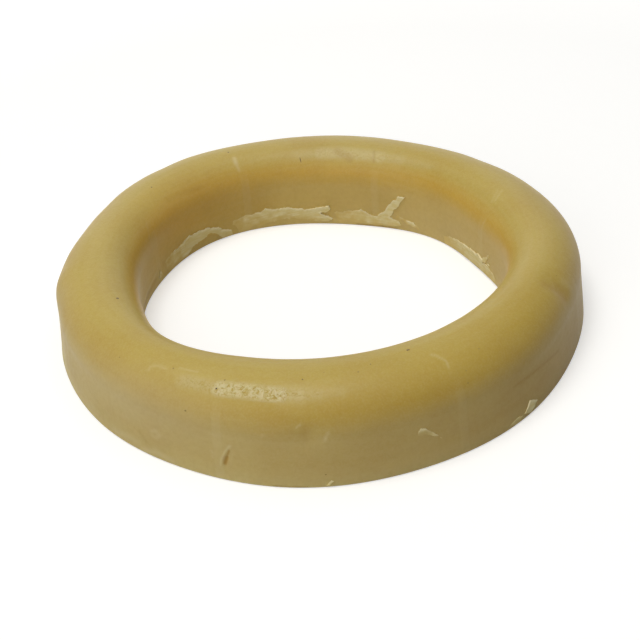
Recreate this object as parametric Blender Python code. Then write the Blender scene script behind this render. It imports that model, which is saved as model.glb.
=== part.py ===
"""Toilet wax ring: one soft ring of moulded wax with a flat base and a domed crown.

Metres, +Z up. The origin is the centre of the bore on the base plane, and the side that the
photograph shows nearest faces -Y. Azimuths are in degrees, from +X towards +Y.
"""

import math

import bmesh
import bpy
from mathutils import Vector

# Driving dimensions of the section
OUTER_RADIUS = 0.0685  # outer wall, where it meets the crown
OUTER_FLARE = 0.0012  # how much further out the outer wall stands at the base
OUTER_WALL_HEIGHT = 0.0125
BORE_RADIUS = 0.04775  # bore wall, where it meets the crown
BORE_FLARE = 0.00065  # how much wider the bore is at the base
BORE_WALL_HEIGHT = 0.0138
RING_HEIGHT = 0.0230
CREST_BIAS = 0.436  # where the crest lies across the section, from the bore wall to the outer wall
BASE_EDGE_RADIUS = 0.00025

# Witness marks: narrow raised bands up the walls, where the mould's segments met
WITNESS_AZIMUTHS = (-160.0, -111.6, -64.2, -20.0, 14.5, 65.3, 111.3, 154.0)
WITNESS_WIDTH = 0.0018  # along the outer wall
WITNESS_RISE = 0.00012
WITNESS_FADE_START = 0.0140  # height from which they fade out over the crown
WITNESS_FADE_END = 0.0190

# How far the soft ring has gone out of round: (number of lobes, reach, azimuth of a high point)
OUTER_LOBES = (
    (2, 0.00108, -54.9),
    (3, 0.00082, 14.7),
    (4, 0.00037, 16.0),
    (5, 0.00011, -2.1),
    (6, 0.00030, 13.5),
    (7, 0.00014, 24.9),
    (8, 0.00021, -6.1),
)
BORE_LOBES = (
    (2, 0.00108, -36.0),
    (3, 0.00115, -5.4),
    (4, 0.00057, -43.8),
    (5, 0.00025, -14.8),
    (6, 0.00049, -11.9),
    (8, 0.00018, -4.7),
)

# Handling marks on the outer side: (azimuth, half width in degrees, height, half height, rise)
HANDLING_MARKS = (
    (-25.6, 3.0, 0.0195, 0.0035, -0.0005),
    (-94.6, 3.0, 0.0135, 0.0030, -0.0003),
    (-170.0, 5.0, 0.0060, 0.0090, -0.0004),
    (-179.0, 4.0, 0.0165, 0.0050, 0.0004),
    (162.0, 6.0, 0.0190, 0.0050, -0.0003),
    (150.5, 4.0, 0.0190, 0.0050, -0.0004),
    (143.6, 3.0, 0.0205, 0.0050, 0.0004),
    (129.0, 4.0, 0.0210, 0.0050, -0.0002),
    (37.0, 6.0, 0.0210, 0.0050, -0.0002),
)
HANDLING_FADE = 0.0010  # height below the crest over which they run out

# Torn film left by the mould along the bore's base edge
FILM_THICKNESS = 0.0003
FILM_SINK = 0.0004  # how deep the film's root runs into the wall behind it

# Each rung crosses a strip: (azimuth, height in mm, lift off the wall in mm) at its lower and upper edge
FILM_FAR_LEFT = (
    ((154.7, 0.6, 0.0), (154.2, 3.4, 0.1)),
    ((152.4, 0.6, 0.0), (152.8, 4.1, 0.1)),
)
FILM_LEFT = (
    ((151.2, 1.0, 0.0), (151.0, 3.6, 0.0)),
    ((147.8, 0.7, 0.0), (147.3, 5.0, 0.1)),
    ((142.2, 1.2, 0.0), (140.9, 5.4, 0.2)),
    ((138.8, 1.3, 0.0), (138.6, 5.7, 0.3)),
    ((136.5, 1.5, 0.0), (136.1, 6.3, 0.5)),
    ((133.9, 3.2, 0.5), (133.5, 6.4, 0.6)),
    ((130.2, 3.5, 0.6), (130.6, 6.2, 0.6)),
    ((125.5, 3.9, 0.6), (127.2, 5.7, 0.6)),
    ((123.1, 2.3, 0.5), (122.5, 4.5, 0.5)),
    ((121.3, 0.4, 0.0), (120.2, 2.9, 0.1)),
    ((118.0, 0.4, 0.0), (117.6, 2.2, 0.0)),
)
FILM_MIDDLE = (
    ((117.2, 0.5, 0.0), (117.3, 3.1, 0.0)),
    ((115.6, 0.5, 0.0), (115.4, 5.0, 0.1)),
    ((112.2, 0.5, 0.0), (112.2, 5.6, 0.1)),
    ((108.5, 0.6, 0.0), (109.3, 5.4, 0.1)),
    ((105.4, 1.5, 0.1), (105.5, 6.6, 0.2)),
    ((101.1, 2.3, 0.1), (102.4, 6.1, 0.2)),
    ((96.3, 2.7, 0.2), (97.8, 6.0, 0.2)),
    ((93.1, 1.9, 0.2), (93.6, 5.4, 0.2)),
    ((89.6, 1.3, 0.1), (90.3, 5.3, 0.2)),
    ((86.9, 0.9, 0.1), (87.2, 5.7, 0.3)),
)
FILM_UPPER_TONGUE = (
    ((87.6, 4.2, 0.2), (87.7, 5.6, 0.3)),
    ((84.8, 4.3, 0.3), (84.7, 5.9, 0.3)),
    ((82.3, 5.6, 0.3), (82.7, 6.6, 0.3)),
)
FILM_LOWER_TONGUE = (
    ((87.6, 1.0, 0.1), (87.5, 3.8, 0.2)),
    ((84.4, 0.9, 0.1), (84.2, 3.0, 0.2)),
    ((82.2, 1.6, 0.2), (82.3, 2.3, 0.2)),
)
FILM_SECOND = (
    ((81.6, 0.5, 0.0), (82.0, 3.7, 0.0)),
    ((78.4, 0.5, 0.0), (78.6, 4.3, 0.1)),
    ((74.8, 0.5, 0.0), (74.8, 4.9, 0.1)),
    ((71.4, 0.6, 0.1), (71.4, 5.6, 0.2)),
    ((69.2, 0.7, 0.1), (69.0, 4.8, 0.2)),
    ((66.5, 0.8, 0.1), (66.8, 3.9, 0.2)),
    ((62.6, 0.9, 0.1), (63.4, 4.3, 0.2)),
    ((59.4, 0.9, 0.1), (60.4, 4.0, 0.2)),
    ((56.5, 1.2, 0.1), (57.2, 2.7, 0.1)),
)
FILM_SPUR = (
    ((60.4, 3.0, 0.1), (64.9, 3.0, 0.1)),
    ((60.3, 4.6, 0.2), (62.9, 5.4, 0.2)),
    ((58.1, 6.8, 0.3), (60.8, 7.6, 0.3)),
    ((55.9, 9.1, 0.4), (57.6, 10.4, 0.4)),
    ((54.0, 11.5, 0.5), (55.2, 11.7, 0.5)),
)
FILM_CURL = (
    ((56.4, 2.4, 0.1), (56.6, 4.4, 0.1)),
    ((53.8, 1.9, 0.1), (53.9, 3.6, 0.2)),
    ((51.4, 1.2, 0.2), (51.8, 3.0, 0.3)),
    ((49.4, 0.6, 0.1), (49.3, 1.9, 0.1)),
)
FILM_RIGHT = (
    ((40.0, 0.5, 0.0), (39.8, 1.6, 0.0)),
    ((36.4, 0.5, 0.0), (36.6, 2.1, 0.1)),
    ((33.6, 0.5, 0.0), (33.6, 3.3, 0.1)),
    ((28.5, 0.5, 0.0), (28.5, 4.0, 0.2)),
    ((25.0, 0.5, 0.1), (25.3, 4.5, 0.2)),
    ((23.4, 0.5, 0.1), (23.4, 4.3, 0.2)),
    ((21.8, 0.6, 0.1), (21.8, 5.1, 0.3)),
    ((19.6, 0.8, 0.1), (20.0, 4.7, 0.3)),
    ((18.2, 0.9, 0.1), (18.3, 4.8, 0.3)),
    ((17.0, 1.0, 0.1), (16.6, 5.4, 0.3)),
    ((15.4, 1.7, 0.2), (15.0, 4.7, 0.3)),
    ((14.0, 3.4, 0.2), (13.7, 4.7, 0.3)),
)
FILM_RIGHT_FOOT = (
    ((17.4, 0.8, 0.1), (17.2, 1.8, 0.1)),
    ((15.6, 0.6, 0.1), (15.6, 1.8, 0.1)),
    ((12.4, 0.5, 0.1), (12.4, 1.9, 0.1)),
    ((8.0, 0.5, 0.0), (8.3, 1.4, 0.1)),
)
FILM_CRUMB_SIDE = (
    ((10.5, 4.3, 0.1), (10.4, 5.0, 0.1)),
    ((9.5, 4.3, 0.1), (9.6, 5.0, 0.1)),
)
FILM_CRUMB_HIGH = (
    ((9.9, 8.2, 0.0), (9.8, 8.9, 0.1)),
    ((8.8, 8.3, 0.0), (8.9, 8.8, 0.1)),
)

# Flakes and a smear on the outer wall, set out like the film
FLAKE_RIGHT = (
    ((-48.9, 0.7, 0.0), (-49.6, 1.4, 0.0)),
    ((-47.6, 1.0, 0.2), (-48.6, 2.4, 0.2)),
    ((-45.6, 1.9, 0.1), (-46.4, 3.3, 0.1)),
)
FLAKE_LOW = (
    ((-54.2, 0.6, 0.0), (-54.4, 1.0, 0.0)),
    ((-51.6, 0.6, 0.1), (-51.4, 1.5, 0.1)),
)
SMEAR = (
    ((-73.6, 9.6, 0.0), (-72.6, 10.9, 0.0)),
    ((-71.6, 8.4, 0.1), (-70.6, 9.4, 0.1)),
    ((-69.6, 5.7, 0.0), (-68.4, 6.5, 0.0)),
)

# Gouge in the outer wall
GOUGE_AZIMUTH = -109.8
GOUGE_HEIGHT = 0.0061
GOUGE_LENGTH = 0.0062
GOUGE_WIDTH = 0.0012
GOUGE_DEPTH = 0.0006
GOUGE_TILT = 13.0  # degrees from upright

# Facets
STATIONS = 144
WITNESS_BUNCHING = 0.75  # how strongly the stations gather at the witness marks
EDGE_STEPS = 2
WALL_STEPS = 3
OUTER_CROWN_STEPS = 10
BORE_CROWN_STEPS = 9
SMOOTH_ANGLE = 35.0
MERGE_DISTANCE = 0.000001
MM = 0.001

WAX_COLOUR = (0.434, 0.323, 0.103, 1.0)
WAX_ROUGHNESS = 0.42


def crest_radius():
    return BORE_RADIUS + CREST_BIAS * (OUTER_RADIUS - BORE_RADIUS)


def outer_wall_radius(height):
    fall = min(max(height / OUTER_WALL_HEIGHT, 0.0), 1.0)
    return OUTER_RADIUS + OUTER_FLARE * (1.0 - fall)


def bore_wall_radius(height):
    fall = min(max(height / BORE_WALL_HEIGHT, 0.0), 1.0)
    return BORE_RADIUS + BORE_FLARE * (1.0 - fall)


def base_edge(foot_radius, inward):
    """Rounded edge between the base plane and a wall, as (radius, height) points from the base up."""
    points = []
    for step in range(EDGE_STEPS + 1):
        turn = math.radians(90.0) * step / EDGE_STEPS
        reach = BASE_EDGE_RADIUS * (1.0 - math.sin(turn))
        points.append((foot_radius + inward * reach, BASE_EDGE_RADIUS * (1.0 - math.cos(turn))))
    return points


def wall(radius_at, top):
    """Points up a drafted wall, above its base edge and below the crown."""
    rise = (top - BASE_EDGE_RADIUS) / WALL_STEPS
    heights = [BASE_EDGE_RADIUS + rise * step for step in range(1, WALL_STEPS)]
    return [(radius_at(height), height) for height in heights]


def crown(wall_radius, wall_height, steps):
    """Quarter ellipse from the top of a wall to just below the crest."""
    points = []
    for step in range(steps):
        turn = math.radians(90.0) * step / steps
        radius = crest_radius() + (wall_radius - crest_radius()) * math.cos(turn)
        points.append((radius, wall_height + (RING_HEIGHT - wall_height) * math.sin(turn)))
    return points


def ring_section():
    """Closed outline of the section, from the base up the outer wall, over the crown and down the bore."""
    outer = base_edge(outer_wall_radius(0.0), -1.0) + wall(outer_wall_radius, OUTER_WALL_HEIGHT)
    outer += crown(OUTER_RADIUS, OUTER_WALL_HEIGHT, OUTER_CROWN_STEPS)
    bore = base_edge(bore_wall_radius(0.0), 1.0) + wall(bore_wall_radius, BORE_WALL_HEIGHT)
    bore += crown(BORE_RADIUS, BORE_WALL_HEIGHT, BORE_CROWN_STEPS)
    return outer + [(crest_radius(), RING_HEIGHT)] + bore[::-1]


def lobe_shift(lobes, azimuth):
    return sum(reach * math.cos(count * (azimuth - math.radians(high))) for count, reach, high in lobes)


def out_of_round(radius, azimuth):
    """Radius once the ring has gone out of round, between the bore's own lobes and the outer wall's."""
    share = (radius - BORE_RADIUS) / (outer_wall_radius(0.0) - BORE_RADIUS)
    outer = lobe_shift(OUTER_LOBES, azimuth)
    bore = lobe_shift(BORE_LOBES, azimuth)
    return radius + share * outer + (1.0 - share) * bore


def degrees_between(first, second):
    return (first - second + 180.0) % 360.0 - 180.0


def bunched(azimuth):
    """Azimuth of a station: every gap between two witness marks has as many, gathered at its ends."""
    place = math.degrees(azimuth) % 360.0 / 360.0 * len(WITNESS_AZIMUTHS)
    share = place - int(place)
    share -= WITNESS_BUNCHING * math.sin(math.tau * share) / math.tau
    start = WITNESS_AZIMUTHS[int(place) % len(WITNESS_AZIMUTHS)]
    end = WITNESS_AZIMUTHS[(int(place) + 1) % len(WITNESS_AZIMUTHS)]
    return math.radians(start + (end - start) % 360.0 * share)


def witness_rise(azimuth, height):
    """Rise of the nearest witness band, which falls to nothing beside it and over the crown."""
    off = min(abs(degrees_between(math.degrees(azimuth), mark)) for mark in WITNESS_AZIMUTHS)
    half_width = math.degrees(WITNESS_WIDTH / 2.0 / OUTER_RADIUS)
    across = min(max(2.0 - off / half_width, 0.0), 1.0)
    up = (height - WITNESS_FADE_START) / (WITNESS_FADE_END - WITNESS_FADE_START)
    return WITNESS_RISE * across * (1.0 - min(max(up, 0.0), 1.0))


def mark_rise(azimuth, height):
    """Rise or fall of the surface at the handling marks."""
    rise = 0.0
    for mark_azimuth, half_width, mark_height, half_height, reach in HANDLING_MARKS:
        across = degrees_between(math.degrees(azimuth), mark_azimuth) / half_width
        up = (height - mark_height) / half_height
        rise += reach * math.exp(-across * across - up * up)
    return rise * min(max((RING_HEIGHT - height) / HANDLING_FADE, 0.0), 1.0)


def moulded_ring():
    """The section turned about the bore, with its witness marks, out of round and marked by handling."""
    ring = bmesh.new()
    loop = [ring.verts.new((radius, 0.0, height)) for radius, height in ring_section()]
    edges = [ring.edges.new(pair) for pair in zip(loop, loop[1:] + loop[:1])]
    bmesh.ops.spin(
        ring, geom=loop + edges, cent=(0.0, 0.0, 0.0), axis=(0.0, 0.0, 1.0),
        angle=math.tau, steps=STATIONS, use_merge=True,
    )
    bmesh.ops.remove_doubles(ring, verts=ring.verts, dist=MERGE_DISTANCE)
    bmesh.ops.recalc_face_normals(ring, faces=ring.faces)
    ring.normal_update()
    for vert in ring.verts:
        radius, height = vert.co.xy.length, vert.co.z
        lean, lift = vert.normal.xy.dot(vert.co.xy.normalized()), vert.normal.z
        azimuth = bunched(math.atan2(vert.co.y, vert.co.x))
        rise = witness_rise(azimuth, height)
        if radius > crest_radius():
            rise += mark_rise(azimuth, height)
        radius += rise * lean
        height += rise * max(lift, 0.0)
        vert.co = point_at(out_of_round(radius, azimuth), azimuth, height)
    return ring


def point_at(radius, azimuth, height):
    return Vector((radius * math.cos(azimuth), radius * math.sin(azimuth), height))


def on_wall(radius_at, outwards, spot, depth):
    """Point on a wall at a spot (azimuth, height, lift), with a further depth out of the wax."""
    degrees, height, lift = spot
    azimuth = math.radians(degrees)
    radius = out_of_round(radius_at(height * MM), azimuth) + outwards * (lift * MM + depth)
    return point_at(radius, azimuth, height * MM)


def wax_strip(rungs, radius_at, outwards):
    """Closed strip of thin wax through its rungs. Where it has no lift, its back is sunk in the wall."""
    strip = bmesh.new()
    sections = []
    for lower, upper in rungs:
        backs = [-FILM_SINK if lift * MM < FILM_SINK else 0.0 for _, _, lift in (lower, upper)]
        corners = ((lower, backs[0]), (lower, FILM_THICKNESS), (upper, FILM_THICKNESS), (upper, backs[1]))
        sections.append([strip.verts.new(on_wall(radius_at, outwards, *corner)) for corner in corners])
    for section, after in zip(sections, sections[1:]):
        for side in range(len(section)):
            following = (side + 1) % len(section)
            strip.faces.new((section[side], section[following], after[following], after[side]))
    strip.faces.new(sections[0])
    strip.faces.new(sections[-1])
    bmesh.ops.recalc_face_normals(strip, faces=strip.faces)
    return strip


def gouge():
    """Long shallow lens that opens the outer wall."""
    lens = bmesh.new()
    bmesh.ops.create_uvsphere(lens, u_segments=12, v_segments=8, radius=1.0)
    azimuth = math.radians(GOUGE_AZIMUTH)
    centre = point_at(out_of_round(outer_wall_radius(GOUGE_HEIGHT), azimuth), azimuth, GOUGE_HEIGHT)
    outward = Vector((math.cos(azimuth), math.sin(azimuth), 0.0))
    sideways = Vector((-math.sin(azimuth), math.cos(azimuth), 0.0))
    tilt = math.radians(GOUGE_TILT)
    along = Vector((0.0, 0.0, math.cos(tilt))) + sideways * math.sin(tilt)
    across = sideways * math.cos(tilt) - Vector((0.0, 0.0, math.sin(tilt)))
    half_axes = (across * GOUGE_WIDTH / 2.0, outward * GOUGE_DEPTH, along * GOUGE_LENGTH / 2.0)
    for vert in lens.verts:
        vert.co = centre + sum((axis * share for axis, share in zip(half_axes, vert.co)), Vector())
    bmesh.ops.recalc_face_normals(lens, faces=lens.faces)
    return lens


def wax_material():
    wax = bpy.data.materials.new("petroleum_wax")
    wax.use_nodes = True
    wax.diffuse_color = WAX_COLOUR
    shader = wax.node_tree.nodes["Principled BSDF"]
    shader.inputs["Base Color"].default_value = WAX_COLOUR
    shader.inputs["Roughness"].default_value = WAX_ROUGHNESS
    shader.inputs["Metallic"].default_value = 0.0
    return wax


def add_object(name, shape):
    mesh = bpy.data.meshes.new(name)
    shape.to_mesh(mesh)
    shape.free()
    made = bpy.data.objects.new(name, mesh)
    bpy.context.scene.collection.objects.link(made)
    return made


def combine(body, name, shape, operation):
    """Joins a shape to the body, or cuts it out, and keeps the shape as a guide."""
    guide = add_object(name, shape)
    guide.hide_render = True
    guide.display_type = "WIRE"
    step = body.modifiers.new(name, "BOOLEAN")
    step.operation = operation
    step.solver = "EXACT"
    step.object = guide


def build():
    for old in list(bpy.data.objects):
        bpy.data.objects.remove(old, do_unlink=True)
    body = add_object("wax_ring", moulded_ring())
    body.data.materials.append(wax_material())
    body.data.shade_smooth()
    body.data.set_sharp_from_angle(angle=math.radians(SMOOTH_ANGLE))
    bore_strips = {
        "film_far_left": FILM_FAR_LEFT,
        "film_left": FILM_LEFT,
        "film_middle": FILM_MIDDLE,
        "film_upper_tongue": FILM_UPPER_TONGUE,
        "film_lower_tongue": FILM_LOWER_TONGUE,
        "film_second": FILM_SECOND,
        "film_spur": FILM_SPUR,
        "film_curl": FILM_CURL,
        "film_right": FILM_RIGHT,
        "film_right_foot": FILM_RIGHT_FOOT,
        "film_crumb_side": FILM_CRUMB_SIDE,
        "film_crumb_high": FILM_CRUMB_HIGH,
    }
    outer_strips = {"flake_right": FLAKE_RIGHT, "flake_low": FLAKE_LOW, "smear": SMEAR}
    for name, rungs in bore_strips.items():
        combine(body, name, wax_strip(rungs, bore_wall_radius, -1.0), "UNION")
    for name, rungs in outer_strips.items():
        combine(body, name, wax_strip(rungs, outer_wall_radius, 1.0), "UNION")
    combine(body, "gouge", gouge(), "DIFFERENCE")


build()
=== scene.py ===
"""Toilet wax ring: the moulded wax, the torn film in its bore, its smears and grit, and a plain studio.

Metres, +Z up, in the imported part's own frame: the bore's centre is the origin, on the base plane. A
spot on the ring is given as a side (the outer wall with its half of the crown, or the bore wall with
the other half), an azimuth in degrees from +X towards +Y, and an arc: the length in millimetres up
that side of the section from the base, which reaches 30 at the crest on the outer side and 28 on the
bore side. A rise or lift is how far the surface stands out of the plain section there.
"""

import math

import bmesh
import bpy
import numpy as np
from bpy.props import FloatProperty, FloatVectorProperty, PointerProperty
from bpy.types import Operator, Panel, PropertyGroup
from mathutils import Matrix, Vector, noise


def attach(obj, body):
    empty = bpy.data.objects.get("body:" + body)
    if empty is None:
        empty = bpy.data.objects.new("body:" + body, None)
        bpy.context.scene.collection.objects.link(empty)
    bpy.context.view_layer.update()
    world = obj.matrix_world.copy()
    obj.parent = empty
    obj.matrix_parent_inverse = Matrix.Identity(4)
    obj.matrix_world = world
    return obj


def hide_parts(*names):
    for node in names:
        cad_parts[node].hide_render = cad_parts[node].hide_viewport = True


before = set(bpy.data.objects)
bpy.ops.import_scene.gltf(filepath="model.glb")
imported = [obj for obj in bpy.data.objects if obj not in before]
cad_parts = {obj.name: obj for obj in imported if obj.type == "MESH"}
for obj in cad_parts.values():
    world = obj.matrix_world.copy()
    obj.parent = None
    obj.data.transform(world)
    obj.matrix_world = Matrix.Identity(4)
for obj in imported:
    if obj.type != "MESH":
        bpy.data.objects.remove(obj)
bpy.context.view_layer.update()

bl_info = {
    "name": "Toilet wax ring",
    "version": (1, 0, 0),
    "blender": (4, 5, 0),
    "location": "View3D > Sidebar > Wax ring",
    "description": "Models a moulded wax ring with torn film, smears and grit, in a plain studio",
    "category": "Object",
}

MM = 0.001
OUTER = "outer"
BORE = "bore"

# How far the soft ring has gone out of round: (number of lobes, reach in mm, azimuth of a high point)
OUTER_LOBES = (
    (2, 1.08, -54.9),
    (3, 0.82, 14.7),
    (4, 0.37, 16.0),
    (5, 0.11, -2.1),
    (6, 0.30, 13.5),
    (7, 0.14, 24.9),
    (8, 0.21, -6.1),
)
BORE_LOBES = (
    (2, 1.08, -36.0),
    (3, 1.15, -5.4),
    (4, 0.57, -43.8),
    (5, 0.25, -14.8),
    (6, 0.49, -11.9),
    (8, 0.18, -4.7),
)

# Raised bands where the mould's segments met: (azimuth, how strongly it shows on the walls)
WITNESS_MARKS = (
    (-160.0, 0.6),
    (-111.6, 0.8),
    (-64.2, 0.6),
    (-20.0, 0.6),
    (14.5, 0.5),
    (65.3, 0.7),
    (111.3, 0.7),
    (154.0, 0.5),
)
WITNESS_FLANK = 0.5  # over how much of its surroundings a band falls away, in mm
WITNESS_ON_CROWN = 0.15  # how much of a band is left on the crown
WITNESS_FADE = (15.0, 4.0)  # height from which it fades to that, and over how much, in mm
WITNESS_BLOOM = 0.16

# Where each side takes on the wax's next tone, in mm of arc: its foot, its wall, the wall's top, its
# shoulder and the crown. The crown's tone is the wax's own; the others are that wax with painted light:
# the floor's pale reflection and bounce light on the foot and walls, painted shade at the outer shoulder,
# and painted warm bounce light over the bore side.
OUTER_TONES = (0.0, 5.0, 12.0, 18.0, 25.0)
BORE_TONES = (0.0, 4.5, 12.5, 17.5, 22.0)
TONE_SPAN = 30.0  # arc that the painted place up a side is a share of

CROWN_CRINKLE = 0.10  # how crinkled the whole crown is
CRINKLE_START = (15.0, 5.0)  # height from which it is, and over how much that comes on, in mm

# The walls are duller than the crown: gloss of each, and the arcs between which it changes
WALL_GLOSS = 0.07
CROWN_GLOSS = 0.27
GLOSS_FROM = 11.0
GLOSS_FULL = 20.0

# Broad stretches of painted light and shade: painted shade on the right of the outer wall (browned) and
# of the crown (golden), a painted pale sheen of the white surroundings on the left wall, low in the bore
# and on the far crown (dulled), and painted warm bounce light on the left of the bore (warm):
# (side, azimuth, half width in degrees, arc, half height in mm, strength)
PAINTED_LIGHT_TINTS = {
    "browned": ((OUTER, -28.0, 42.0, 4.0, 12.0, 0.55),),
    "dulled": (
        (OUTER, -131.0, 19.0, 13.0, 8.0, 0.60),
        (BORE, 32.0, 40.0, 4.0, 7.0, 0.45),
        (BORE, 92.0, 38.0, 26.0, 4.0, 0.10),
    ),
    "golden": ((OUTER, -52.0, 34.0, 23.5, 6.0, 0.50), (OUTER, -14.0, 12.0, 20.0, 6.0, 0.30)),
    "warm": ((BORE, 138.0, 24.0, 14.0, 8.5, 0.85),),
}

# Dents and bulges of the outer side: (azimuth, half width in degrees, height, half height, rise in mm)
HANDLING_MARKS = (
    (-25.6, 3.0, 19.5, 3.5, -0.5),
    (-94.6, 3.0, 13.5, 3.0, -0.3),
    (-170.0, 5.0, 6.0, 9.0, -0.4),
    (-179.0, 4.0, 16.5, 5.0, 0.4),
    (162.0, 6.0, 19.0, 5.0, -0.2),
    (150.5, 5.5, 19.0, 5.0, -0.1),
    (143.6, 4.5, 20.5, 5.0, 0.1),
    (129.0, 4.0, 21.0, 5.0, -0.2),
    (37.0, 6.0, 21.0, 5.0, -0.2),
)
HANDLING_FADE = 1.0  # height below the crest over which they run out, in mm
CALM_FOOT = 1.0  # arc over which every mark and swell starts from the base, which stays flat, in mm

# Marks in the wax, some with painted light and shade: (half width, crispness, rise, bloom_and_highlight,
# amber, path of azimuths and arcs). The first is the whitening of rubbed wax, and painted light where a
# mark says so; amber is the darker wax inside a cut, and painted shade where a mark says so; both from 0 to
# 1.
MARKS = {
    OUTER: (
        # The gouge, a wedge that is narrower at its top, with the wax it pushed up on its left and above it
        (0.46, 2.6, -0.18, 0.0, 0.66, ((-109.9, 6.4), (-110.4, 4.6))),
        (0.3, 2.4, -0.08, 0.0, 0.45, ((-109.3, 8.4), (-109.9, 6.4))),
        (0.34, 2.0, 0.06, 0.5, 0.0, ((-109.0, 9.7), (-110.2, 7.8), (-111.1, 5.6), (-111.3, 4.0))),
        (0.28, 2.0, 0.03, 0.1, 0.0, ((-108.6, 7.6), (-109.3, 4.6))),
        # Soft dimple of the near wall, with painted shade in it, and the ticks beside it
        (1.2, 2.0, -0.05, 0.0, 0.14, ((-94.2, 15.4), (-94.5, 12.8))),
        (0.28, 2.0, 0.03, 0.55, 0.0, ((-90.4, 14.2), (-91.1, 12.2))),
        (0.3, 2.0, 0.02, 0.35, 0.0, ((-96.0, 15.9), (-95.3, 16.5))),
        (0.26, 2.0, 0.02, 0.3, 0.0, ((-102.5, 13.8), (-102.2, 13.5))),
        # Soft dent of the right crown, with painted shade in it and a painted highlight on the rise beside
        # it
        (1.6, 2.0, -0.16, 0.0, 0.24, ((-28.4, 24.6), (-27.2, 20.6), (-26.4, 17.6))),
        (1.4, 2.0, -0.07, 0.0, 0.16, ((-25.8, 22.2), (-25.2, 18.8))),
        (1.2, 2.0, 0.07, 0.14, 0.0, ((-23.4, 20.8), (-22.2, 17.0))),
        # Scratches and a pale crescent on the near crown
        (0.32, 2.0, 0.01, 0.3, 0.0, (
            (-66.3, 26.7), (-65.6, 26.1), (-64.9, 24.9), (-64.3, 24.0), (-64.6, 22.3),
        )),
        (0.34, 2.0, 0.02, 0.34, 0.0, ((-66.2, 26.5), (-65.8, 26.3))),
        (0.34, 2.0, 0.01, 0.26, 0.0, ((-129.4, 22.4), (-128.9, 23.8), (-127.2, 24.6), (-125.4, 24.4))),
        (0.28, 2.0, 0.01, 0.26, 0.0, ((-122.2, 25.6), (-119.6, 25.8), (-118.0, 25.9))),
        # Painted shadow where the base stands off the floor
        (0.34, 3.0, 0.0, 0.0, 0.45, ((-101.0, 0.1), (-95.0, 0.1))),
        # Faint dark drag line along the right wall
        (0.36, 2.0, -0.03, 0.0, 0.26, ((-34.4, 8.5), (-40.6, 9.8), (-46.3, 10.4), (-51.0, 10.7))),
        # Rubbed spots low on the left of the near wall
        (0.5, 2.0, 0.03, 0.34, 0.0, (
            (-127.0, 7.4), (-125.9, 8.1), (-124.9, 7.2), (-125.9, 5.9), (-127.0, 6.2),
        )),
        (0.8, 2.0, 0.04, 0.42, 0.0, ((-129.9, 0.9), (-127.9, 1.2), (-125.8, 1.8), (-123.6, 1.2))),
        (0.7, 2.0, 0.03, 0.36, 0.0, ((-126.4, 2.6), (-124.8, 1.6), (-122.2, 0.9))),
        (1.0, 2.0, 0.03, 0.3, 0.0, ((-138.4, 1.6), (-135.9, 2.0), (-133.4, 2.4), (-131.2, 2.2))),
        (0.5, 2.0, -0.02, 0.0, 0.16, ((-130.6, 5.6), (-128.7, 3.6))),
        (0.3, 2.0, 0.04, 0.4, 0.0, ((-113.1, 7.4), (-112.9, 7.0))),
        (0.3, 2.0, 0.03, 0.3, 0.0, ((-113.0, 5.9), (-112.8, 5.5))),
    ),
    BORE: (
        # The seam of the far crown, with painted shade on one side and a painted highlight on the other, and
        # the pale seam left of it
        (0.42, 2.0, -0.05, 0.0, 0.26, ((67.0, 24.4), (66.2, 21.1))),
        (0.5, 2.0, 0.03, 0.55, 0.0, ((65.8, 22.4), (64.7, 21.3))),
        (0.62, 2.0, 0.02, 0.55, 0.0, ((112.0, 24.4), (112.2, 22.6))),
        (0.5, 2.0, 0.02, 0.34, 0.0, ((112.2, 22.4), (112.1, 20.2))),
        # Pale lines down the left bore wall, over the right crown and down the right bore wall
        (0.6, 2.0, 0.01, 0.1, 0.0, ((153.8, 20.0), (156.6, 16.6), (155.6, 11.0), (152.2, 4.0))),
        (0.3, 2.0, 0.02, 0.26, 0.0, ((17.6, 26.6), (14.9, 23.0))),
        (0.3, 2.0, 0.02, 0.2, 0.0, ((18.4, 25.8), (15.6, 22.2))),
        (0.4, 2.0, 0.02, 0.2, 0.0, ((13.0, 17.6), (14.6, 8.0))),
        # Rough darker patch in the far crown's crinkled stretch, where its highlight is painted
        (1.2, 3.0, -0.02, 0.0, 0.26, ((79.4, 23.6), (77.0, 22.6), (74.6, 21.6))),
        # Painted shadow where the base stands off the floor
        (0.34, 3.0, 0.0, 0.0, 0.6, ((73.0, 0.1), (58.0, 0.1))),
        # Shallow crease high on the left of the far bore wall, with painted shade in it
        (0.9, 2.0, -0.04, 0.0, 0.14, ((140.0, 20.5), (133.5, 19.7), (127.0, 18.8))),
        # Edge of a low film on the left bore wall, painted shade under it, and painted bounce light in the
        # lighter patch above it
        (0.42, 2.0, 0.1, 0.22, 0.0, ((155.6, 4.9), (161.6, 4.0), (167.0, 3.5), (173.0, 3.2))),
        (0.8, 2.0, -0.06, 0.0, 0.28, ((157.0, 2.9), (163.0, 2.3), (171.0, 1.9))),
        (2.6, 2.0, 0.04, 0.24, 0.0, ((175.0, 11.5), (-178.0, 10.5))),
    ),
}

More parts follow.
